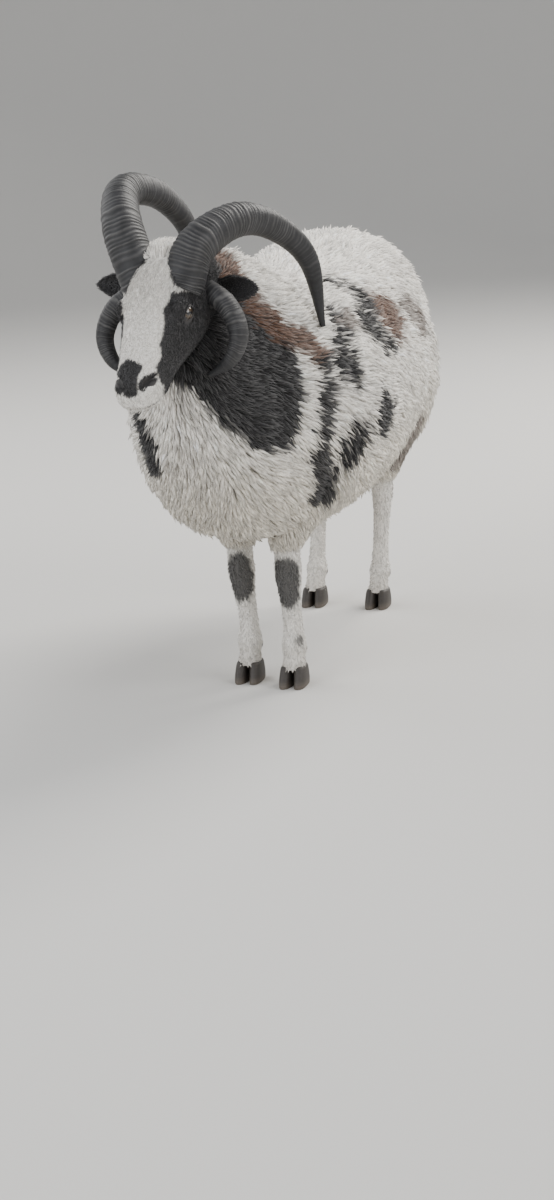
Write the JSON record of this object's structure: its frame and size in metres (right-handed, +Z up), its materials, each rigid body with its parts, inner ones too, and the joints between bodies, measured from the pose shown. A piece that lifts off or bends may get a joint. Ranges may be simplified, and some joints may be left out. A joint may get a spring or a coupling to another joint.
{
  "type": "jacob sheep ram, still life-size model",
  "caption": "Life-size still model of a standing Jacob ram with upper and lower pairs of curved horns, a turned head and a thick piebald fleece of rounded clumps.",
  "frame": {"origin": "on the floor under the middle of the model's box", "axes": "+Z up, the ram faces -Y, its left side is at +X"},
  "size_m": [0.42, 1.203, 0.8773],
  "materials": {
    "fleece": "matte wool in rounded clumps, cream with black and brown patches",
    "face_hair": "short flat hair, black with a white blaze, dark nose and pale lips",
    "ear_hair": "short black hair",
    "leg_hair": "short white hair with dark knees",
    "horn": "dark ridged horn, satin",
    "hoof": "dark worn hoof horn, satin",
    "eye": "wet glossy amber eye with a level slot pupil",
    "bare_skin": "thinly haired pink skin"
  },
  "bodies": {
    "root": {"torso": "fleece", "neck": "fleece", "tail": "fleece", "head": "face_hair", "ear_left": "ear_hair", "ear_right": "ear_hair", "eye_left": "eye", "eye_right": "eye", "horn_upper_left": "horn", "horn_upper_right": "horn", "horn_lower_left": "horn", "horn_lower_right": "horn", "leg_front_left": "leg_hair", "leg_front_right": "leg_hair", "leg_hind_left": "leg_hair", "leg_hind_right": "leg_hair", "hoof_front_left": "hoof", "hoof_front_right": "hoof", "hoof_hind_left": "hoof", "hoof_hind_right": "hoof", "scrotum": "bare_skin"}
  },
  "joints": []
}
